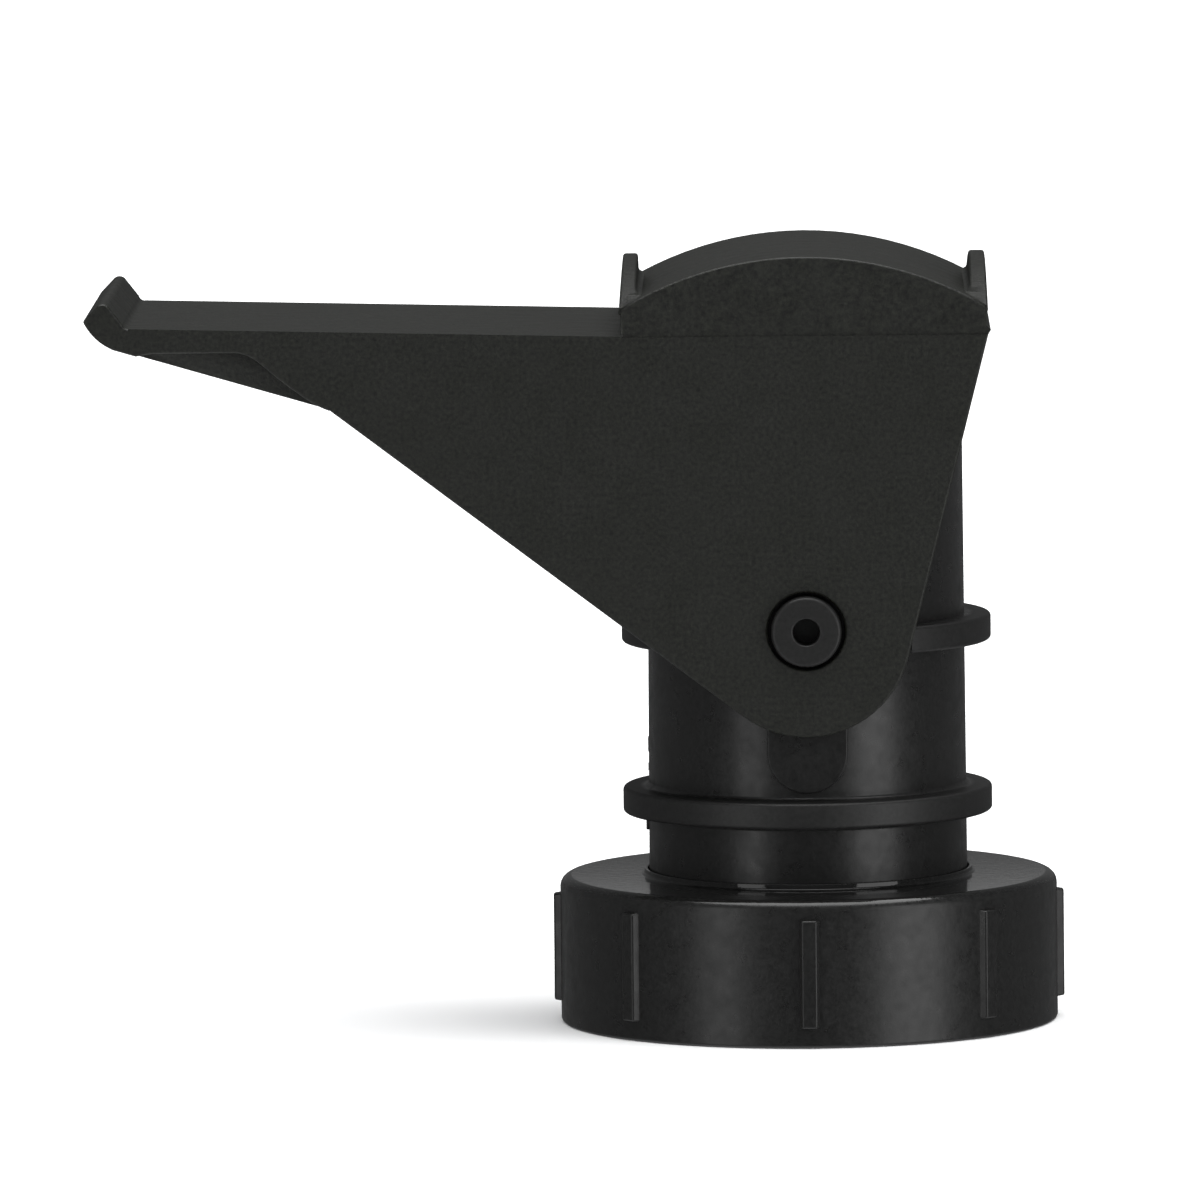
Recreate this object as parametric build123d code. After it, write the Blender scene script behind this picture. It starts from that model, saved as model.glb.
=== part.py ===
from build123d import *

import os
from math import acos, atan2, cos, hypot, sin

# Lever-shutter pour spout with a swivel collar nut, millimetres.
# Origin: on the body axis, level with the nut's bottom rim. +Z up, the lever's arm points to -X,
# and the lever turns about a pivot along Y. Every round piece is turned about Z.

# Driving dimensions -------------------------------------------------------------------------
FINISH_R = 16.0            # outside radius of the bottle finish that the nut screws over
BODY_R = 12.5              # spout body, outside radius half way up
BORE_R = 10.5              # spout body, inside radius
PIVOT_Z = 32.2             # height of the lever's pivot
MOUTH_R = 26.0             # saddle-shaped mouth: radius about the pivot
SHUTTER_R = 27.0           # underside of the shutter: radius about the pivot
LEVER_HALF_W = 14.7        # lever, outer faces of the side plates
PLATE_T = 1.8              # lever, thickness of its side plates and its top plate
ARM_TIP_X = -56.2          # lever, furthest point of the hooked tip
CLEAR = 1.0                # how far a cutting shape reaches past the face that it cuts
REACH = 80.0               # longer than any piece, for shapes that cut right across one

# Body ---------------------------------------------------------------------------------------
BODY_DRAFT = 0.1           # the radius falls by this much from half way up to the top, and grows below
BODY_FOOT_Z = 9.1
RING_R = 14.6              # two rings round the body
RING_H = 2.1
LOWER_RING_Z = 16.55
UPPER_RING_Z = 30.1
RING_EDGE_FILLET = 0.3
RELIEF_R = 8.35            # the upper ring is cut back round the pivot, where the plates pass
ROOT_R = 11.0              # rings, pads and trunnions start inside the wall, at this radius
PAD_HALF_W = 3.15          # flat pad on each side of the body, round at its lower end
PAD_ROUND_Z = 22.35
PAD_FACE_Y = 12.75
PIN_R = 2.75               # hollow trunnions moulded on the body
PIN_END_Y = 15.6
PIN_CORE_R = 1.04
PIN_CORE_FLOOR_Y = 11.2
PIN_CHAMFER = 0.3
PIN_FLARE = 0.2            # countersink of the core hole, a little above its centre
PIN_FLARE_UP = 0.3
VESTIGE_X = -12.3          # small mould marks down the arm side of the body: height, size, proud
VESTIGES = ((20.1, 0.7, 0.3), (21.9, 1.2, 0.3), (15.6, 1.0, 0.5))
SEAT_Z = 51.0              # ledge that the mouth seal stands on
SEAT_LEDGE_H = 1.5
SEAT_LEDGE_R = 9.2
SEAL_R = 11.3
SEAL_CROWN_R = 26.7        # top of the seal: radius about the pivot

# Tail sleeve, O-ring and gasket ---------------------------------------------------------------
SLEEVE_BORE_R = 8.3
SLEEVE_TOP_Z = 25.0
FLANGE_R = 15.4
FLANGE_T = 1.5
GROOVE_Z = 17.75
GROOVE_H = 1.5
GROOVE_R = 9.3
O_RING_SECTION_R = 0.57
O_RING_GAP = 0.02
GASKET_T = 1.6
GASKET_OUT_R = 15.6
GASKET_IN_R = 8.9

# Nut ----------------------------------------------------------------------------------------
NUT_R = 19.67
NUT_H = 11.6
NUT_WEB_T = 2.25
NUT_HOLE_R = 12.72
NUT_THREAD_CLEARANCE = 0.9
NUT_LIP_R = 12.98          # low lip round the body, rising from the top in a cove
NUT_LIP_TOP_Z = 12.1
NUT_LIP_WALL = 0.25        # its upright part, above the cove
NUT_TOP_FILLET = 0.9
NUT_BOTTOM_CHAMFER = 0.35
NUT_RIBS = 8
NUT_RIB_W = 1.9            # width at the foot and at the crest
NUT_RIB_CREST_W = 1.2
NUT_RIB_PROUD = 0.53
NUT_RIB_LOW_Z = 1.5
NUT_RIB_TOP_Z = 10.2
NUT_LEAD_IN_R = 17.2       # plain lead-in at the nut's mouth
NUT_LEAD_IN_H = 1.0
THREAD_PITCH = 3.2
THREAD_DEPTH = 0.9
THREAD_LOW_Z = 2.0
THREAD_TURNS = 1.0
THREAD_FOOT_W = 0.75       # half widths of the ridge at its foot and crest, and its root inside the wall
THREAD_CREST_W = 0.3
THREAD_ROOT = 0.3

# Lever --------------------------------------------------------------------------------------
LEVER_EYE_R = 3.05         # hole that turns on the trunnion
FOOT_R = 8.2               # round bottom of the side plates
FOOT_Z = 32.05
CROWN_END_X = 14.26        # ends of the arched crown
CROWN_END_Z = 57.55
CROWN_TOP_Z = 61.5
CROWN_STEP = 0.15          # the crown's side faces are set back from the plates by this much
BACK_X = 14.4              # upper end of the plates' rear edge
STEP_Z = 55.3              # line where the crown meets the plates
NIB_X = 14.6               # speck of flash at the end of that line
NIB_HALF_H = 0.35
ARM_ROOT_Z = 55.4          # top plate, top face at its root and at its end
ARM_END_X = -52.6
ARM_END_Z = 56.36
RAMP_FOOT = (-0.5, 0.4)    # curve from the top plate into the hooked tip, as a step in X and Z
LIP_TOP_X = -54.62         # rounded top of the hook, and the steps from it to its two ends
LIP_TOP_Z = 58.33
LIP_IN = (0.55, -0.33)
LIP_OUT = (-0.5, -0.25)
TIP_Z = 56.97              # height of the hooked tip's furthest point
NOSE = (0.9, -1.25)        # middle of the curve under the tip, as a step from it
CHIN_X = -53.9
CHIN_Z = 54.72
HEEL_X = -36.9             # corner where the underside turns into the arm
HEEL_Z = 49.74
HOLLOW_ROOT_X = -8.0       # space between the plates, under the top plate
HOLLOW_LOW_Z = (15.0, 45.0)
HOLLOW_NARROW_X = -38.4    # the space is narrower from here to the tip, between the side pockets
TAB_TOP_Z = 60.75          # upright tabs across the ends of the crown, arched from side to side
TAB_SIDE_Z = 57.6
TAB_HALF_W = 14.4
TAB_ROOT_Z = 57.0
TAB_FOOT_Z = 58.95         # where the fillet at a tab's inner foot starts, and how far it reaches
TAB_FOOT_R = 0.5
TAB_EDGE_FILLET = 0.25
TAB_ARM_SIDE = (-14.42, -14.12, -13.0, -13.06)   # X of the outer foot, outer top, inner top, inner foot
TAB_BACK_SIDE = (14.4, 14.3, 13.12, 13.02)
POCKET_DEPTH = 1.5         # hollow in each side of the arm
POCKET_END_X = -50.8
POCKET_TOP_Z = 54.4
POCKET_BEND_X = -44.6      # its upper edge runs level to here, then curves down to the heel
POCKET_CURVE = ((-41.9, 53.1), (-39.0, 50.85), (-37.05, 49.8))
POCKET_HEEL_SLOPE = -0.35
POCKET_LOW_Z = 45.0
POCKET_NOSE = (-53.2, 54.0)
POCKET_MOUTH_X = -54.8
RIB_T = 1.4                # cross ribs under the arm, and how far they run into the plates
RIB_ROOT = 0.2
RIB_X = (-28.0, -40.0)


def about_pivot(radius, half_width):
    """Solid drum about the lever's pivot."""
    return Pos(0, 0, PIVOT_Z) * Rot(90, 0, 0) * Cylinder(radius, 2 * half_width)


def tube(outer, inner, low, high):
    """Plain ring or tube about Z from one height to another."""
    wall = Circle(outer) - Circle(inner)
    return Pos(0, 0, low) * extrude(wall, high - low)


def side_plan(outline, half_width):
    """Extrude an outline drawn in X and Z across the whole width in Y."""
    face = Plane.XZ * outline
    return extrude(face, half_width, both=True)


def body_ring(low):
    """Rounded ring round the body, drawn from inside the wall so that it joins it."""
    ring = tube(RING_R, ROOT_R, low, low + RING_H)
    rim = ring.edges().filter_by(GeomType.CIRCLE).group_by(SortBy.RADIUS)[-1]
    return fillet(rim, RING_EDGE_FILLET)


def pivot_side(side):
    """Pad on one side of the body; side is -1 for front, +1 for rear."""
    high = PIVOT_Z - PAD_ROUND_Z
    pad = Pos(0, PIVOT_Z - high / 2) * SlotCenterToCenter(high, 2 * PAD_HALF_W, rotation=90)
    depth = PAD_FACE_Y - ROOT_R
    block = extrude(Plane.XZ * pad, depth / 2, both=True)
    return Pos(0, side * (ROOT_R + depth / 2), 0) * block


def trunnion(side):
    """Stub pin with a chamfered end on one side of the body."""
    length = PIN_END_Y - ROOT_R
    pin = Cylinder(PIN_R, length)
    pin = chamfer(pin.edges().group_by(Axis.Z)[-1], PIN_CHAMFER)
    return Pos(0, side * (PIN_END_Y - length / 2), PIVOT_Z) * Rot(-90 * side, 0, 0) * pin


def trunnion_core(side):
    """Blind hole down the middle of a stub pin."""
    depth = PIN_END_Y - PIN_CORE_FLOOR_Y
    hole = Cylinder(PIN_CORE_R, depth)
    core = Pos(0, side * (PIN_END_Y - depth / 2), PIVOT_Z) * Rot(-90 * side, 0, 0) * hole
    flare = Cone(PIN_CORE_R - PIN_FLARE, PIN_CORE_R + PIN_FLARE, 2 * PIN_FLARE)
    return core + Pos(0, side * PIN_END_Y, PIVOT_Z + PIN_FLARE_UP) * Rot(-90 * side, 0, 0) * flare


def mould_marks():
    """Gate and ejector marks, each a low block on the arm side of the body."""
    marks = Part()
    for height, size, proud in VESTIGES:
        marks += Pos(VESTIGE_X, 0, height) * Box(2 * proud, size, size)
    return marks


def spout_body():
    """Tapered tube with two rings, a saddle-shaped mouth and a trunnion on each side."""
    top = PIVOT_Z + MOUTH_R + CLEAR
    upright = (Align.CENTER, Align.CENTER, Align.MIN)
    shell = Cone(BODY_R + BODY_DRAFT, BODY_R - BODY_DRAFT, top - BODY_FOOT_Z, align=upright)
    shell = Pos(0, 0, BODY_FOOT_Z) * shell
    upper_ring = body_ring(UPPER_RING_Z) - about_pivot(RELIEF_R, RING_R + CLEAR)
    body = shell + body_ring(LOWER_RING_Z) + upper_ring + mould_marks()
    for side in (-1, 1):
        body += pivot_side(side) + trunnion(side)
    body -= tube(BORE_R, SEAT_LEDGE_R, 0, SEAT_Z - SEAT_LEDGE_H)
    body -= Pos(0, 0, top / 2) * Cylinder(SEAT_LEDGE_R, top + 2 * CLEAR)
    body -= Pos(0, 0, (SEAT_Z + top) / 2) * Cylinder(SEAL_R, top - SEAT_Z)
    for side in (-1, 1):
        body -= trunnion_core(side)
    return body & about_pivot(MOUTH_R, PIN_END_Y + CLEAR)


def mouth_seal():
    """Rubber ring in the mouth, with a crown that follows the shutter."""
    ring = tube(SEAL_R, SEAT_LEDGE_R, SEAT_Z, PIVOT_Z + SEAL_CROWN_R)
    return ring & about_pivot(SEAL_CROWN_R, RING_R)


def tail_sleeve():
    """Flanged sleeve in the foot of the body; its flange traps the nut."""
    flange = tube(FLANGE_R, SLEEVE_BORE_R, BODY_FOOT_Z - FLANGE_T, BODY_FOOT_Z)
    sleeve = tube(BORE_R, SLEEVE_BORE_R, BODY_FOOT_Z - FLANGE_T, SLEEVE_TOP_Z)
    groove = tube(BORE_R + CLEAR, GROOVE_R, GROOVE_Z - GROOVE_H / 2, GROOVE_Z + GROOVE_H / 2)
    return flange + sleeve - groove


def sleeve_o_ring():
    """O-ring in the sleeve's groove."""
    return Pos(0, 0, GROOVE_Z) * Torus(GROOVE_R + O_RING_SECTION_R + O_RING_GAP, O_RING_SECTION_R)


def bottle_gasket():
    """Flat rubber washer between the flange and the rim of the bottle."""
    top = BODY_FOOT_Z - FLANGE_T
    return tube(GASKET_OUT_R, GASKET_IN_R, top - GASKET_T, top)


def nut_thread(root_r):
    """One helical ridge inside the nut."""
    crest_r = root_r - THREAD_DEPTH
    path = Helix(THREAD_PITCH, THREAD_PITCH * THREAD_TURNS, root_r, center=(0, 0, THREAD_LOW_Z))
    section = Polyline(
        (root_r + THREAD_ROOT, THREAD_LOW_Z - THREAD_FOOT_W), (crest_r, THREAD_LOW_Z - THREAD_CREST_W),
        (crest_r, THREAD_LOW_Z + THREAD_CREST_W), (root_r + THREAD_ROOT, THREAD_LOW_Z + THREAD_FOOT_W),
        close=True,
    )
    return sweep(Plane.XZ * make_face(section), path=path, is_frenet=True)


def collar_nut():
    """Ribbed nut with a bottle thread inside and a raised lip round the body."""
    root_r = FINISH_R + NUT_THREAD_CLEARANCE
    nut = Cylinder(NUT_R, NUT_H, align=(Align.CENTER, Align.CENTER, Align.MIN))
    nut = fillet(nut.edges().group_by(Axis.Z)[-1], NUT_TOP_FILLET)
    nut = chamfer(nut.edges().group_by(Axis.Z)[0], NUT_BOTTOM_CHAMFER)
    rib_h = NUT_RIB_TOP_Z - NUT_RIB_LOW_Z
    foot_x = NUT_R - NUT_RIB_PROUD
    crest_x = NUT_R + NUT_RIB_PROUD
    section = Polyline(
        (foot_x, -NUT_RIB_W / 2), (crest_x, -NUT_RIB_CREST_W / 2),
        (crest_x, NUT_RIB_CREST_W / 2), (foot_x, NUT_RIB_W / 2), close=True,
    )
    rib = Pos(0, 0, NUT_RIB_LOW_Z) * extrude(make_face(section), rib_h)
    rib = chamfer(rib.edges().group_by(Axis.X)[-1].filter_by(Axis.Y), NUT_RIB_PROUD / 2)
    for n in range(NUT_RIBS):
        nut += Rot(0, 0, 360 / NUT_RIBS * n) * rib
    cove = NUT_LIP_TOP_Z - NUT_H - NUT_LIP_WALL
    lip_root_z = NUT_H - NUT_WEB_T / 2
    lip_face = Polyline(
        (NUT_LIP_R + cove, NUT_H), (NUT_LIP_R + cove, lip_root_z), (NUT_HOLE_R, lip_root_z),
        (NUT_HOLE_R, NUT_LIP_TOP_Z), (NUT_LIP_R, NUT_LIP_TOP_Z), (NUT_LIP_R, NUT_H + cove),
    )
    cove_arc = RadiusArc((NUT_LIP_R + cove, NUT_H), (NUT_LIP_R, NUT_H + cove), cove)
    nut += revolve(Plane.XZ * make_face([lip_face, cove_arc]), Axis.Z)
    nut -= Pos(0, 0, NUT_H / 2) * Cylinder(NUT_HOLE_R, 2 * NUT_H)
    nut -= Cylinder(root_r, NUT_H - NUT_WEB_T, align=(Align.CENTER, Align.CENTER, Align.MIN))
    nut -= Cylinder(NUT_LEAD_IN_R, 2 * NUT_LEAD_IN_H)
    return nut + nut_thread(root_r)


def tangent_point(x, z, turn):
    """Where a line from (x, z) touches the round foot of the plates; turn is the side it passes."""
    rise = z - FOOT_Z
    angle = atan2(rise, x) + turn * acos(FOOT_R / hypot(x, rise))
    return FOOT_R * cos(angle), FOOT_Z + FOOT_R * sin(angle)


def lever_outline():
    """Side view of the lever: crown, top plate, hooked tip and the plates down to the foot."""
    left_touch = tangent_point(HEEL_X, HEEL_Z, 1)
    right_touch = tangent_point(BACK_X, STEP_Z, -1)
    crown = ThreePointArc((CROWN_END_X, CROWN_END_Z), (0, CROWN_TOP_Z), (-CROWN_END_X, CROWN_END_Z))
    arm = Polyline((-CROWN_END_X, CROWN_END_Z), (-CROWN_END_X, ARM_ROOT_Z), (ARM_END_X, ARM_END_Z))
    ramp_foot = (ARM_END_X + RAMP_FOOT[0], ARM_END_Z + RAMP_FOOT[1])
    lip_in = (LIP_TOP_X + LIP_IN[0], LIP_TOP_Z + LIP_IN[1])
    lip_out = (LIP_TOP_X + LIP_OUT[0], LIP_TOP_Z + LIP_OUT[1])
    along_arm = (ARM_END_X + CROWN_END_X, ARM_END_Z - ARM_ROOT_Z)
    ramp = TangentArc((ARM_END_X, ARM_END_Z), ramp_foot, tangent=along_arm) + Line(ramp_foot, lip_in)
    lip = ThreePointArc(lip_in, (LIP_TOP_X, LIP_TOP_Z), lip_out)
    tip = (ARM_TIP_X, TIP_Z)
    nose = ThreePointArc(tip, (ARM_TIP_X + NOSE[0], TIP_Z + NOSE[1]), (CHIN_X, CHIN_Z))
    underside = Polyline((CHIN_X, CHIN_Z), (HEEL_X, HEEL_Z), left_touch)
    foot = ThreePointArc(left_touch, (0, FOOT_Z - FOOT_R), right_touch)
    nib_z = STEP_Z + NIB_HALF_H
    back = Polyline(
        right_touch, (BACK_X, STEP_Z), (NIB_X, nib_z), (CROWN_END_X, nib_z + NIB_HALF_H),
        (CROWN_END_X, CROWN_END_Z),
    )
    return make_face([crown, arm, ramp, lip, Line(lip_out, tip), nose, underside, foot, back])


def arm_hollow():
    """Space between the plates under the top plate."""
    slope = (ARM_END_Z - ARM_ROOT_Z) / (ARM_END_X + CROWN_END_X)
    roof = ARM_ROOT_Z - PLATE_T
    root = (HOLLOW_ROOT_X, roof + slope * (HOLLOW_ROOT_X + CROWN_END_X))
    end = (POCKET_END_X, roof + slope * (POCKET_END_X + CROWN_END_X))
    root_low, end_low = HOLLOW_LOW_Z
    outline = make_face(Polyline(root, end, (POCKET_END_X, end_low), (HOLLOW_ROOT_X, root_low), close=True))
    wide = side_plan(outline, LEVER_HALF_W - PLATE_T)
    narrow = side_plan(outline, LEVER_HALF_W - POCKET_DEPTH - PLATE_T)
    root_half = Pos(HOLLOW_NARROW_X / 2, 0, PIVOT_Z) * Box(-HOLLOW_NARROW_X, 2 * LEVER_HALF_W, REACH)
    return (wide & root_half) + narrow


def side_pocket(side):
    """Hollow in one side of the arm, open at the bottom."""
    corner = (POCKET_END_X, POCKET_TOP_Z)
    bend = (POCKET_BEND_X, POCKET_TOP_Z)
    curve = Spline(bend, *POCKET_CURVE, tangents=((1, 0), (1, POCKET_HEEL_SLOPE)))
    heel = POCKET_CURVE[-1]
    rest = Polyline(heel, (heel[0], POCKET_LOW_Z), (POCKET_MOUTH_X, POCKET_LOW_Z), POCKET_NOSE, corner)
    block = extrude(Plane.XZ * make_face([Line(corner, bend), curve, rest]), POCKET_DEPTH, both=True)
    return Pos(0, side * LEVER_HALF_W, 0) * block


def crown_tab(places):
    """Thin wall across one end of the crown, its top arched from side to side."""
    foot_out, top_out, top_in, foot_in = places
    inward = TAB_FOOT_R if foot_in < 0 else -TAB_FOOT_R
    high = TAB_TOP_Z + CLEAR
    wall = Polyline((foot_out, TAB_ROOT_Z), (top_out, high), (top_in, high), (foot_in, TAB_FOOT_Z))
    reach = (foot_in + inward, TAB_FOOT_Z - TAB_FOOT_R)
    curve = TangentArc((foot_in, TAB_FOOT_Z), reach, tangent=(0, -1))
    root = Polyline(reach, (foot_in + inward, TAB_ROOT_Z), (foot_out, TAB_ROOT_Z))
    section = side_plan(make_face([wall, curve, root]), TAB_HALF_W)
    arch = ThreePointArc((-TAB_HALF_W, TAB_SIDE_Z), (0, TAB_TOP_Z), (TAB_HALF_W, TAB_SIDE_Z))
    under = Polyline(
        (TAB_HALF_W, TAB_SIDE_Z), (TAB_HALF_W, TAB_ROOT_Z),
        (-TAB_HALF_W, TAB_ROOT_Z), (-TAB_HALF_W, TAB_SIDE_Z),
    )
    tab = section & extrude(Plane.YZ * make_face([arch, under]), LEVER_HALF_W, both=True)
    top = tab.faces().sort_by(Axis.Z)[-1]
    long_edges = top.edges().filter_by(GeomType.CIRCLE)
    return fillet(long_edges, TAB_EDGE_FILLET)


def lever():
    """Shutter, side plates and arm in one moulding."""
    solid = side_plan(lever_outline(), LEVER_HALF_W)
    solid -= about_pivot(SHUTTER_R, LEVER_HALF_W - PLATE_T)
    solid -= arm_hollow() - about_pivot(SHUTTER_R, LEVER_HALF_W)
    solid -= about_pivot(LEVER_EYE_R, LEVER_HALF_W + CLEAR)
    crown_high = CROWN_TOP_Z - STEP_Z
    crown_in = -CROWN_END_X
    crown_out = NIB_X + CLEAR
    for side in (-1, 1):
        solid -= side_pocket(side)
        set_back = Box(crown_out - crown_in, 2 * CROWN_STEP, 2 * crown_high)
        solid -= Pos((crown_out + crown_in) / 2, side * LEVER_HALF_W, STEP_Z + crown_high) * set_back
    for places in (TAB_ARM_SIDE, TAB_BACK_SIDE):
        solid += crown_tab(places)
    inner_half = LEVER_HALF_W - PLATE_T + RIB_ROOT
    ribs = Part()
    for x in RIB_X:
        ribs += Pos(x, 0, ARM_ROOT_Z) * Box(RIB_T, 2 * inner_half, 2 * PIVOT_Z)
    solid += ribs & side_plan(lever_outline(), inner_half) - about_pivot(SHUTTER_R + CLEAR, LEVER_HALF_W)
    return solid


NODES = {
    "spout_body": spout_body,
    "mouth_seal": mouth_seal,
    "tail_sleeve": tail_sleeve,
    "sleeve_o_ring": sleeve_o_ring,
    "bottle_gasket": bottle_gasket,
    "collar_nut": collar_nut,
    "lever": lever,
}

os.makedirs("parts", exist_ok=True)
for name, build in NODES.items():
    export_step(build(), f"parts/{name}.step")
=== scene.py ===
import math

import bmesh
import bpy
from mathutils import Matrix, Vector


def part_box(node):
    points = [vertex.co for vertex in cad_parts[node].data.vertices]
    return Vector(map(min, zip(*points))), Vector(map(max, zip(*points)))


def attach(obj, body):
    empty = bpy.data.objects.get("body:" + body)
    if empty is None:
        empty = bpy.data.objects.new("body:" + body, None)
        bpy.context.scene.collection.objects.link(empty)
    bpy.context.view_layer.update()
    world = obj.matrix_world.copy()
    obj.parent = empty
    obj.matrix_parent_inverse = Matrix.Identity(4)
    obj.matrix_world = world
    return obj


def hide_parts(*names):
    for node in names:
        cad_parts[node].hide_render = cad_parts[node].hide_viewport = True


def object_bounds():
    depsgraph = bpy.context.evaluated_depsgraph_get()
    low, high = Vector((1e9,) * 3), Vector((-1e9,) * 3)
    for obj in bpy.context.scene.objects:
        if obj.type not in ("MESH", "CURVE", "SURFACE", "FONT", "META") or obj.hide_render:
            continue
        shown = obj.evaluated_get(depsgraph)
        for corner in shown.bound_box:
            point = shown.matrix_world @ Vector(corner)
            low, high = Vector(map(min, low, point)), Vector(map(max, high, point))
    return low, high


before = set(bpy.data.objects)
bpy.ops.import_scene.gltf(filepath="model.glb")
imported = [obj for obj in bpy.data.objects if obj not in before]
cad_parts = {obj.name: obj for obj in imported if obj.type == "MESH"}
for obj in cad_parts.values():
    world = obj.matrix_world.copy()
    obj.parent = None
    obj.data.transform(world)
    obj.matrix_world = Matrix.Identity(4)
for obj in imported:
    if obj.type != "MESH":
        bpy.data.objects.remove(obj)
cad_low, cad_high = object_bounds()
scene = bpy.context.scene
MM = 0.001


# ---- Lever ----------------------------------------------------------------------------------
# Shutter, side plates and arm: one injection moulding in black plastic, with a spark-eroded grain
# on every outside face and small round edges where the mould halves meet.
LEVER_EDGE = 0.2 * MM
LEVER_BLACK = (0.0058, 0.0066, 0.0042)
LEVER_GRAIN = 0.14 * MM
SHARP, CORNER = math.radians(60), math.radians(32)
SLIVER = (0.05 * MM) ** 2
MERGE = 0.004 * MM
STEP_LOW_Z, STEP_HIGH_Z = 55.0 * MM, 56.3 * MM
POCKET_FLOOR_Y, POCKETS_BEFORE_X = 13.2 * MM, -36.0 * MM
lever_low, lever_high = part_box("lever")


def stays_crisp(middle):
    """The shallow step between crown and plates with its speck of flash, and the pockets' floors."""
    at_side = abs(middle.y) > lever_high.y - 0.4 * MM or middle.x > lever_high.x - 0.5 * MM
    at_floor = abs(abs(middle.y) - POCKET_FLOOR_Y) < 0.1 * MM and middle.x < POCKETS_BEFORE_X
    return at_floor or (at_side and STEP_LOW_Z < middle.z < STEP_HIGH_Z)


def moulded_copy(node, name, edge_radius, is_crisp):
    """A merged copy of a node with its right-angled edges rounded, but for those that stay crisp."""
    mesh = bmesh.new()
    mesh.from_mesh(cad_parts[node].data)
    bmesh.ops.remove_doubles(mesh, verts=mesh.verts, dist=MERGE)
    bmesh.ops.dissolve_degenerate(mesh, dist=MERGE, edges=mesh.edges)
    bmesh.ops.dissolve_limit(
        mesh, angle_limit=math.radians(0.5), use_dissolve_boundaries=False,
        verts=mesh.verts, edges=mesh.edges, delimit={"NORMAL"},
    )
    sharp = []
    for edge in mesh.edges:
        middle = (edge.verts[0].co + edge.verts[1].co) / 2
        is_whole = edge.is_manifold and min(face.calc_area() for face in edge.link_faces) > SLIVER
        if is_whole and edge.is_convex and edge.calc_face_angle(0.0) > SHARP and not is_crisp(middle):
            sharp.append(edge)
    bmesh.ops.bevel(
        mesh, geom=sharp, offset=edge_radius, offset_type="OFFSET", affect="EDGES", segments=3,
        profile=0.5, clamp_overlap=False, material=-1, miter_outer="ARC",
    )
    bmesh.ops.remove_doubles(mesh, verts=mesh.verts, dist=0.001 * MM)
    return finished(mesh, name)


def finished(mesh, name):
    """Turn a bmesh into an object with smooth faces and crisp corners."""
    for face in mesh.faces:
        face.smooth = True
    data = bpy.data.meshes.new(name)
    mesh.to_mesh(data)
    mesh.free()
    piece = bpy.data.objects.new(name, data)
    scene.collection.objects.link(piece)
    data.set_sharp_from_angle(angle=CORNER)
    weighted = piece.modifiers.new("even_shading", "WEIGHTED_NORMAL")
    weighted.keep_sharp = True
    return piece


def shader_of(material):
    material.use_nodes = True
    return material.node_tree.nodes["Principled BSDF"]


def node_of(material, kind, **inputs):
    node = material.node_tree.nodes.new(kind)
    for name, value in inputs.items():
        node.inputs[name.replace("_", " ")].default_value = value
    return node


def noise_of(material, size, detail=3.0):
    """Noise with features of about the given size, fixed to the piece."""
    link = material.node_tree.links.new
    place = node_of(material, "ShaderNodeTexCoord")
    noise = node_of(material, "ShaderNodeTexNoise", Scale=0.5 / size, Detail=detail, Roughness=0.6)
    link(place.outputs["Object"], noise.inputs["Vector"])
    return noise.outputs["Fac"]


def spread(material, value, low, high):
    """Stretch a noise value over a range of roughness or brightness."""
    ramp = node_of(material, "ShaderNodeMapRange", From_Min=0.3, From_Max=0.7, To_Min=low, To_Max=high)
    material.node_tree.links.new(value, ramp.inputs["Value"])
    return ramp.outputs["Result"]


def finish_where(material, value, start, end, roughness):
    """Change the roughness where a value has passed from start to end."""
    link = material.node_tree.links.new
    target = shader_of(material).inputs["Roughness"]
    zone = node_of(material, "ShaderNodeMapRange", From_Min=start, From_Max=end)
    blend = node_of(material, "ShaderNodeMix", B=roughness)
    link(value, zone.inputs["Value"])
    link(target.links[0].from_socket, blend.inputs["A"])
    link(zone.outputs["Result"], blend.inputs["Factor"])
    link(blend.outputs["Result"], target)


def moulded_plastic(name, colour, roughness, mottle, patch, grain, grain_depth, speckle):
    """Black plastic: fine mould grain, tiny colour specks, and slow changes of gloss."""
    material = bpy.data.materials.new(name)
    shader = shader_of(material)
    shader.inputs["IOR"].default_value = 1.48
    link = material.node_tree.links.new
    grain_noise = noise_of(material, grain)
    bump = node_of(material, "ShaderNodeBump", Strength=1.0, Distance=grain_depth)
    link(grain_noise, bump.inputs["Height"])
    link(bump.outputs["Normal"], shader.inputs["Normal"])
    patches = noise_of(material, patch, 5.0)
    link(spread(material, patches, roughness - mottle, roughness + mottle), shader.inputs["Roughness"])
    tint = node_of(material, "ShaderNodeMix")
    tint.data_type = "RGBA"
    tint.blend_type = "MIX"
    tint.inputs[6].default_value = (*[shade * (1 - speckle) for shade in colour], 1)
    tint.inputs[7].default_value = (*[shade * (1 + speckle) for shade in colour], 1)
    link(spread(material, noise_of(material, 0.15 * MM, 4.0), 0.0, 1.0), tint.inputs["Factor"])
    link(tint.outputs[2], shader.inputs["Base Color"])
    return material


lever_plastic = moulded_plastic(
    "lever_plastic", LEVER_BLACK, roughness=0.5, mottle=0.06, patch=1.4 * MM,
    grain=LEVER_GRAIN, grain_depth=0.06 * MM, speckle=0.8,
)
lever = moulded_copy("lever", "lever_moulding", LEVER_EDGE, stays_crisp)
lever.data.materials.append(lever_plastic)
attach(lever, "lever")
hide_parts("lever")

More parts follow.
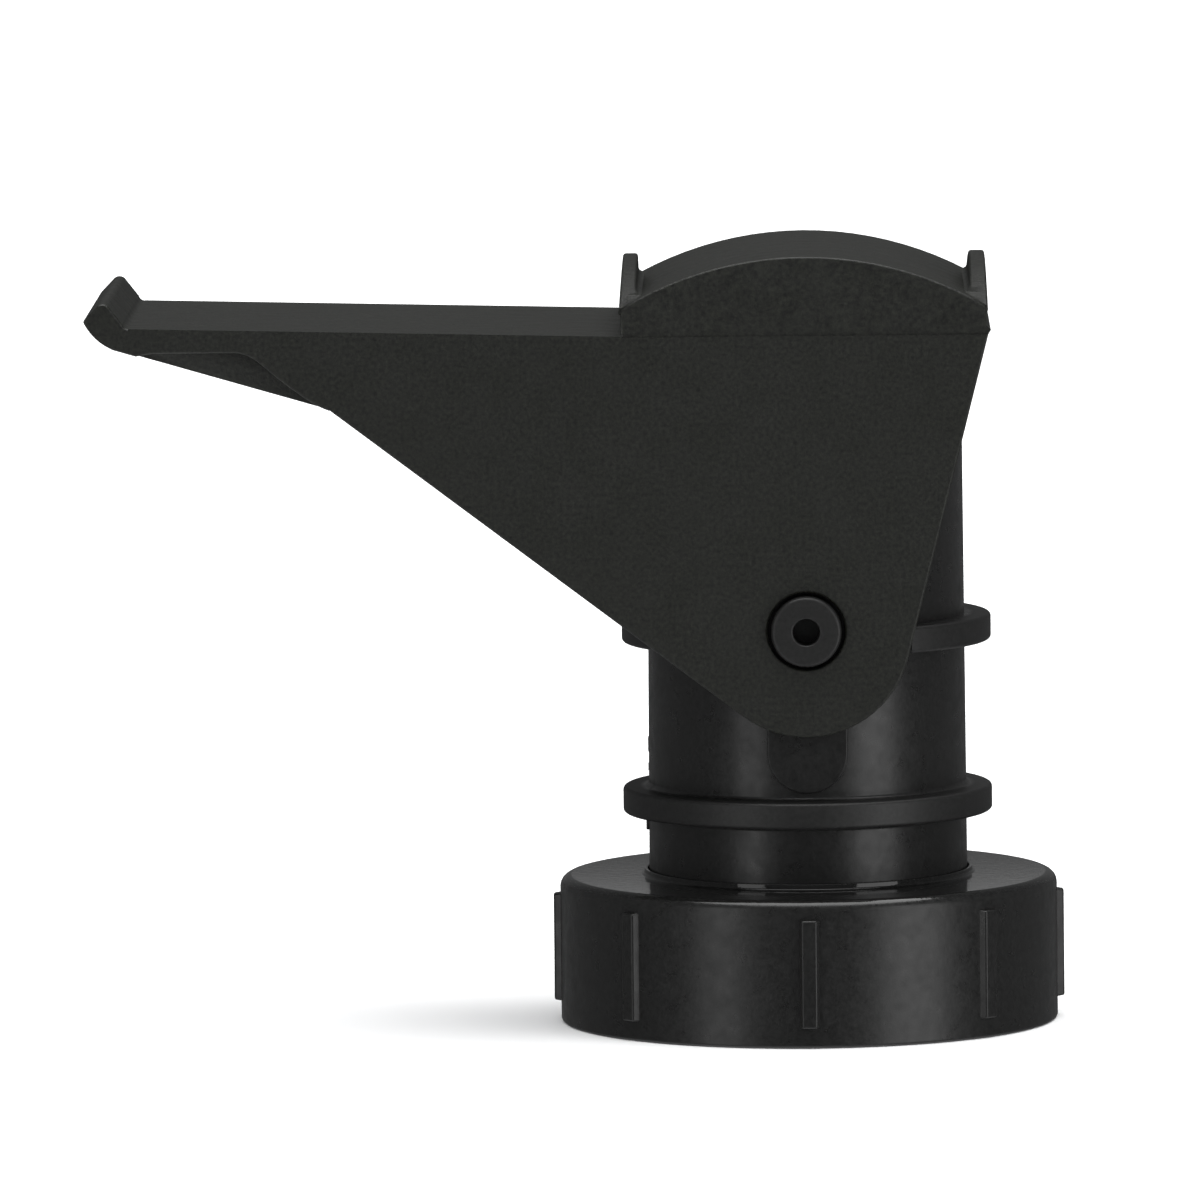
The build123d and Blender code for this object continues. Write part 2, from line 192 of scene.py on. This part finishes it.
# ---- Spout body -----------------------------------------------------------------------------
# Tapered tube with two rings and hollow trunnions, moulded in one piece in a glossier black. The
# rings and the pins' ends stand clear of the polished tube and have the mould's duller finish.
BODY_BLACK = (0.0065, 0.0065, 0.0063)
BODY_FINISH = {
    "roughness": 0.33, "mottle": 0.08, "patch": 0.6 * MM,
    "grain": 0.3 * MM, "grain_depth": 0.012 * MM, "speckle": 0.4,
}
RING_ROUGHNESS, RING_FINISH_R = 0.47, (12.9, 13.3)
RING_START_DEPTH = 0.5
TURN_STEPS = 192
PIVOT_Z = 32.2
MOUTH_R = 26.0
FOOT_Z, FOOT_R = 9.1, 12.6
TOP_Z, TOP_R = 59.2, 12.4
BORE_R, SEAL_R, LEDGE_R = 10.5, 11.3, 9.2
SEAT_Z, LEDGE_H = 51.0, 1.5
RING_R, RING_H = 14.6, 2.1
LOWER_RING_Z, UPPER_RING_Z = 16.55, 30.1
RING_CUT_X = 8.25
RING_EDGE, RING_ROOT, MOUTH_EDGE = 0.32, 0.4, 0.2
WALL_MIDDLE_R = 11.5
PAD_R, PAD_ROUND_Z, PAD_FACE_Y, PAD_EDGE = 3.15, 22.35, 12.75, 0.14
PIN_R, PIN_END_Y, PIN_EDGE = 2.75, 15.6, 0.32
CORE_R, CORE_FLOOR_Y, CORE_EDGE = 1.04, 12.65, 0.16
MARKS = ((20.1, 0.7, 0.3), (21.9, 1.2, 0.3), (15.6, 1.0, 0.5))
MARK_X = -12.3


def outline_of(mesh, points, rounds=(), closed=True):
    """Draw an outline in X and Z, in millimetres, and round some of its corners."""
    corners = [mesh.verts.new((x * MM, 0, z * MM)) for x, z in points]
    pairs = list(zip(corners, corners[1:])) + ([(corners[-1], corners[0])] if closed else [])
    for pair in pairs:
        mesh.edges.new(pair)
    for radius in sorted(set(rounds.values() if rounds else ())):
        bmesh.ops.bevel(
            mesh, geom=[corners[n] for n in rounds if rounds[n] == radius], offset=radius * MM,
            offset_type="OFFSET", affect="VERTICES", segments=5, profile=0.5, material=-1, clamp_overlap=True,
        )


def turned(points, rounds=(), closed=True):
    """Spin an outline all the way round Z."""
    mesh = bmesh.new()
    outline_of(mesh, points, rounds, closed)
    bmesh.ops.spin(
        mesh, geom=mesh.verts[:] + mesh.edges[:], cent=(0, 0, 0), axis=(0, 0, 1), angle=math.tau,
        steps=TURN_STEPS, use_merge=True,
    )
    bmesh.ops.remove_doubles(mesh, verts=mesh.verts, dist=0.001 * MM)
    bmesh.ops.recalc_face_normals(mesh, faces=mesh.faces)
    return mesh


def block(size, place, edge):
    """A small block with rounded edges."""
    mesh = bmesh.new()
    bmesh.ops.create_cube(mesh, size=1.0)
    bmesh.ops.scale(mesh, vec=[side * MM for side in size], verts=mesh.verts)
    bmesh.ops.bevel(
        mesh, geom=mesh.edges[:], offset=edge * MM, affect="EDGES", segments=2, profile=0.5, material=-1
    )
    bmesh.ops.translate(mesh, vec=[way * MM for way in place], verts=mesh.verts)
    return mesh


def join(whole, part, *copies):
    """Add a part to a mesh once for each placing matrix."""
    data = bpy.data.meshes.new("part")
    for placing in copies or (Matrix(),):
        part.to_mesh(data)
        data.transform(placing)
        if placing.determinant() < 0:
            data.flip_normals()
        whole.from_mesh(data)
    bpy.data.meshes.remove(data)
    part.free()


def body_radius(z):
    return FOOT_R + (TOP_R - FOOT_R) * (z - FOOT_Z) / (TOP_Z - FOOT_Z)


ring_top = LOWER_RING_Z + RING_H
tube_outline = [
    (FOOT_R, FOOT_Z), (body_radius(LOWER_RING_Z), LOWER_RING_Z), (RING_R, LOWER_RING_Z), (RING_R, ring_top),
    (body_radius(ring_top), ring_top), (TOP_R, TOP_Z), (SEAL_R, TOP_Z), (SEAL_R, SEAT_Z), (LEDGE_R, SEAT_Z),
    (LEDGE_R, SEAT_Z - LEDGE_H), (BORE_R, SEAT_Z - LEDGE_H), (BORE_R, FOOT_Z),
]
tube_rounds = {1: RING_ROOT, 2: RING_EDGE, 3: RING_EDGE, 4: RING_ROOT, 5: MOUTH_EDGE, 6: MOUTH_EDGE}
body_mesh = turned(tube_outline, tube_rounds)
for corner in body_mesh.verts:
    drop = TOP_Z * MM - corner.co.z
    if drop < 2 * MOUTH_EDGE * MM:
        saddle = PIVOT_Z * MM + math.sqrt((MOUTH_R * MM) ** 2 - corner.co.x ** 2)
        corner.co.z = saddle - drop

ring_root = body_radius(UPPER_RING_Z) - RING_START_DEPTH
ring_top = UPPER_RING_Z + RING_H
half_ring = turned(
    [(ring_root, UPPER_RING_Z), (RING_R, UPPER_RING_Z), (RING_R, ring_top), (ring_root, ring_top)],
    {1: RING_EDGE, 2: RING_EDGE},
)
bmesh.ops.bisect_plane(
    half_ring, geom=half_ring.verts[:] + half_ring.edges[:] + half_ring.faces[:],
    plane_co=(RING_CUT_X * MM, 0, 0), plane_no=(1, 0, 0), clear_inner=True,
)
bmesh.ops.holes_fill(half_ring, edges=[edge for edge in half_ring.edges if edge.is_boundary])
join(body_mesh, half_ring, Matrix(), Matrix.Scale(-1, 4, (1, 0, 0)))

pad = bmesh.new()
bmesh.ops.create_circle(pad, cap_ends=True, segments=96, radius=PAD_R * MM)
bmesh.ops.rotate(pad, matrix=Matrix.Rotation(math.radians(90), 3, "X"), verts=pad.verts)
for corner in pad.verts:
    if corner.co.z > 0:
        corner.co.z += (PIVOT_Z - PAD_ROUND_Z) * MM
raised = bmesh.ops.extrude_face_region(pad, geom=pad.faces[:])["geom"]
face_corners = [item for item in raised if isinstance(item, bmesh.types.BMVert)]
bmesh.ops.translate(pad, vec=(0, -(PAD_FACE_Y - WALL_MIDDLE_R) * MM, 0), verts=face_corners)
rim = {edge for corner in face_corners for edge in corner.link_edges if edge.other_vert(corner) in face_corners}
bmesh.ops.bevel(
    pad, geom=list(rim), offset=PAD_EDGE * MM, affect="EDGES", segments=3, profile=0.5, material=-1
)
bmesh.ops.recalc_face_normals(pad, faces=pad.faces)
bmesh.ops.translate(pad, vec=(0, -WALL_MIDDLE_R * MM, PAD_ROUND_Z * MM), verts=pad.verts)
other_side = Matrix.Rotation(math.pi, 4, "Z")
join(body_mesh, pad, Matrix(), other_side)

pin = turned(
    [(0, WALL_MIDDLE_R), (PIN_R, WALL_MIDDLE_R), (PIN_R, PIN_END_Y), (CORE_R, PIN_END_Y),
     (CORE_R, CORE_FLOOR_Y), (0, CORE_FLOOR_Y)],
    {2: PIN_EDGE, 3: CORE_EDGE}, closed=False,
)
to_pivot = Matrix.Translation((0, 0, PIVOT_Z * MM)) @ Matrix.Rotation(math.radians(90), 4, "X")
join(body_mesh, pin, to_pivot, other_side @ to_pivot)

for mark_z, mark_size, proud in MARKS:
    join(body_mesh, block((2 * proud, mark_size, mark_size), (MARK_X, 0, mark_z), 0.1))
body = finished(body_mesh, "spout_moulding")

body_plastic = moulded_plastic("body_plastic", BODY_BLACK, **BODY_FINISH)
place = node_of(body_plastic, "ShaderNodeTexCoord")
plan = node_of(body_plastic, "ShaderNodeVectorMath")
plan.operation = "MULTIPLY"
plan.inputs[1].default_value = (1, 1, 0)
radius = node_of(body_plastic, "ShaderNodeVectorMath")
radius.operation = "LENGTH"
body_plastic.node_tree.links.new(place.outputs["Object"], plan.inputs[0])
body_plastic.node_tree.links.new(plan.outputs["Vector"], radius.inputs[0])
starts, full = RING_FINISH_R
finish_where(body_plastic, radius.outputs["Value"], starts * MM, full * MM, RING_ROUGHNESS)
body.data.materials.append(body_plastic)
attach(body, "spout")
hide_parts("spout_body")

# ---- Collar nut -----------------------------------------------------------------------------
# Ribbed nut that turns freely on the body, moulded in the same black plastic with a bottle thread
# inside. Its flat top is polished, while its side has the body's satin finish.
NUT_R, NUT_H, WEB_T = 19.67, 11.6, 2.25
NUT_TOP_EDGE, NUT_FOOT_EDGE = 0.9, 0.3
HOLE_R, LIP_R, LIP_TOP_Z, COVE_R, LIP_EDGE = 12.72, 12.98, 12.1, 0.25, 0.06
THREAD_ROOT_R, THREAD_CREST_R, LEAD_IN_R, LEAD_IN_H = 16.9, 16.0, 17.2, 1.0
THREAD_PITCH, THREAD_LOW_Z, THREAD_FOOT, THREAD_CREST = 3.2, 2.0, 0.75, 0.3
THREAD_STEPS = 96
RIBS, RIB_PROUD, RIB_FOOT_W, RIB_CREST_W = 8, 0.53, 1.9, 1.2
RIB_LOW_Z, RIB_TOP_Z, RIB_EDGE = 1.5, 10.2, 0.16
NUT_POLISH, POLISH_BLEND = 0.06, 0.3
THREAD_ROOT_DEPTH = 0.3

nut_outline = [
    (LEAD_IN_R, 0), (NUT_R, 0), (NUT_R, NUT_H), (LIP_R, NUT_H), (LIP_R, LIP_TOP_Z), (HOLE_R, LIP_TOP_Z),
    (HOLE_R, NUT_H - WEB_T), (THREAD_ROOT_R, NUT_H - WEB_T), (THREAD_ROOT_R, LEAD_IN_H), (LEAD_IN_R, LEAD_IN_H),
]
nut_mesh = turned(nut_outline, {1: NUT_FOOT_EDGE, 2: NUT_TOP_EDGE, 3: COVE_R, 4: LIP_EDGE, 5: LIP_EDGE})

rib = bmesh.new()
bmesh.ops.create_cube(rib, size=1.0)
bmesh.ops.scale(rib, vec=(2 * RIB_PROUD * MM, RIB_FOOT_W * MM, (RIB_TOP_Z - RIB_LOW_Z) * MM), verts=rib.verts)
crest = [corner for corner in rib.verts if corner.co.x > 0]
bmesh.ops.scale(rib, vec=(1, RIB_CREST_W / RIB_FOOT_W, 0.97), verts=crest)
bmesh.ops.bevel(
    rib, geom=[edge for edge in rib.edges if edge.verts[0] in crest or edge.verts[1] in crest],
    offset=RIB_EDGE * MM, affect="EDGES", segments=3, profile=0.5, material=-1,
)
bmesh.ops.translate(rib, vec=(NUT_R * MM, 0, (RIB_LOW_Z + RIB_TOP_Z) / 2 * MM), verts=rib.verts)
join(nut_mesh, rib, *[Matrix.Rotation(math.tau * n / RIBS, 4, "Z") for n in range(RIBS)])

thread = bmesh.new()
inside_wall = THREAD_ROOT_R + THREAD_ROOT_DEPTH
outline_of(thread, [
    (inside_wall, THREAD_LOW_Z - THREAD_FOOT), (THREAD_CREST_R, THREAD_LOW_Z - THREAD_CREST),
    (THREAD_CREST_R, THREAD_LOW_Z + THREAD_CREST), (inside_wall, THREAD_LOW_Z + THREAD_FOOT),
])
bmesh.ops.spin(
    thread, geom=thread.verts[:] + thread.edges[:], cent=(0, 0, 0), axis=(0, 0, 1), angle=math.tau,
    steps=THREAD_STEPS, dvec=(0, 0, THREAD_PITCH / THREAD_STEPS * MM), use_merge=False,
)
bmesh.ops.holes_fill(thread, edges=[edge for edge in thread.edges if edge.is_boundary])
bmesh.ops.recalc_face_normals(thread, faces=thread.faces)
join(nut_mesh, thread)
nut = finished(nut_mesh, "collar_nut_moulding")

nut_plastic = moulded_plastic("nut_plastic", BODY_BLACK, **BODY_FINISH)
height = node_of(nut_plastic, "ShaderNodeSeparateXYZ")
place = node_of(nut_plastic, "ShaderNodeTexCoord")
nut_plastic.node_tree.links.new(place.outputs["Object"], height.inputs["Vector"])
polish_start = NUT_H - NUT_TOP_EDGE / 2
finish_where(
    nut_plastic, height.outputs["Z"], polish_start * MM, (polish_start + POLISH_BLEND) * MM, NUT_POLISH
)
nut.data.materials.append(nut_plastic)
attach(nut, "nut")
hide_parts("collar_nut")

# ---- Sleeve and seals ------------------------------------------------------------------------
# Flanged sleeve pressed into the foot of the body, and the three soft black rubber rings that
# seal the shutter, the sleeve and the rim of the bottle.
seal_rubber = moulded_plastic(
    "seal_rubber", (0.011, 0.011, 0.0115), roughness=0.72, mottle=0.08, patch=1.0 * MM,
    grain=0.25 * MM, grain_depth=0.02 * MM, speckle=0.4,
)
for node, material in {
    "tail_sleeve": body_plastic, "mouth_seal": seal_rubber,
    "sleeve_o_ring": seal_rubber, "bottle_gasket": seal_rubber,
}.items():
    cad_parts[node].data.materials.clear()
    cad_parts[node].data.materials.append(material)

# ---- Studio ---------------------------------------------------------------------------------
# Pale floor, a broad soft light from above, a softbox on each side and two low strips behind.
CAMERA_PLACE = (-0.0006, -1.1308, 0.1445)
CAMERA_YAW, CAMERA_DOWN, CAMERA_ROLL = 0.7945, 5.6124, -0.6133
WHITE, DIM = 0.9, 0.12
scene.view_settings.view_transform = "Standard"
camera_data = bpy.data.cameras.new("camera")
camera_data.sensor_width = 36.0
camera_data.lens = 431.1
camera_data.clip_start = 0.05
camera_data.clip_end = 50.0
camera = bpy.data.objects.new("camera", camera_data)
scene.collection.objects.link(camera)
camera.matrix_world = (
    Matrix.Translation(CAMERA_PLACE)
    @ Matrix.Rotation(math.radians(CAMERA_YAW), 4, "Z")
    @ Matrix.Rotation(math.radians(90 - CAMERA_DOWN), 4, "X")
    @ Matrix.Rotation(math.radians(CAMERA_ROLL), 4, "Z")
)
scene.camera = camera

floor_mesh = bmesh.new()
bmesh.ops.create_circle(floor_mesh, cap_ends=True, segments=96, radius=8.0)
floor = finished(floor_mesh, "floor")
floor.location.z = -0.02 * MM
floor.visible_glossy = False
floor.visible_shadow = False
floor_paint = bpy.data.materials.new("floor_paint")
floor_shader = shader_of(floor_paint)
floor_shader.inputs["Base Color"].default_value = (0.9, 0.9, 0.9, 1)
floor_shader.inputs["Roughness"].default_value = 0.9
floor_shader.inputs["Specular IOR Level"].default_value = 0.0
floor.data.materials.append(floor_paint)

# The surroundings are white to the camera and to matt surfaces. In reflections they are darker,
# but for the floor right under the object.
world = bpy.data.worlds.new("studio")
world.use_nodes = True
scene.world = world
sky = world.node_tree
background = sky.nodes["Background"]
background.inputs["Color"].default_value = (0.98, 0.99, 1, 1)
seen = sky.nodes.new("ShaderNodeLightPath")
way = sky.nodes.new("ShaderNodeTexCoord")
parts = sky.nodes.new("ShaderNodeSeparateXYZ")
reflected = sky.nodes.new("ShaderNodeMapRange")
reflected.inputs["From Min"].default_value = -0.5
reflected.inputs["From Max"].default_value = -0.9
reflected.inputs["To Min"].default_value = DIM
reflected.inputs["To Max"].default_value = WHITE
strength = sky.nodes.new("ShaderNodeMix")
strength.inputs["A"].default_value = WHITE
sky.links.new(way.outputs["Generated"], parts.inputs["Vector"])
sky.links.new(parts.outputs["Z"], reflected.inputs["Value"])
sky.links.new(reflected.outputs["Result"], strength.inputs["B"])
sky.links.new(seen.outputs["Is Glossy Ray"], strength.inputs["Factor"])
sky.links.new(strength.outputs["Result"], background.inputs["Strength"])


def softbox(name, place, aim, size, watts):
    data = bpy.data.lights.new(name, "AREA")
    data.shape = "RECTANGLE"
    data.size, data.size_y = size
    data.energy = watts
    lamp = bpy.data.objects.new(name, data)
    scene.collection.objects.link(lamp)
    lamp.location = place
    lamp.rotation_euler = (Vector(aim) - Vector(place)).to_track_quat("-Z", "Y").to_euler()
    lamp.visible_camera = False
    return lamp


def around(azimuth, distance, height):
    """A place round the object; azimuth 0 is the camera's side, positive to the right."""
    angle = math.radians(azimuth)
    return Vector((distance * math.sin(angle), -distance * math.cos(angle), height))


middle = (cad_low + cad_high) / 2
ceiling_data = bpy.data.lights.new("ceiling", "SUN")
ceiling_data.energy = 3.0
ceiling_data.angle = math.radians(60)
ceiling = bpy.data.objects.new("ceiling", ceiling_data)
scene.collection.objects.link(ceiling)
softbox("right_softbox", around(49, 0.9, 0.02), middle, (0.5, 1.0), 3.0)
softbox("left_softbox", around(-41, 0.9, 0.02), middle, (0.3, 1.0), 1.3)
for side in (-1, 1):
    strip_place = Vector((side * 0.0185, 0.16, 0.0385))
    strip = softbox("rear_strip", strip_place, strip_place - Vector((0, 1, 0)), (0.008, 0.014), 0.00006)
    strip.visible_diffuse = False
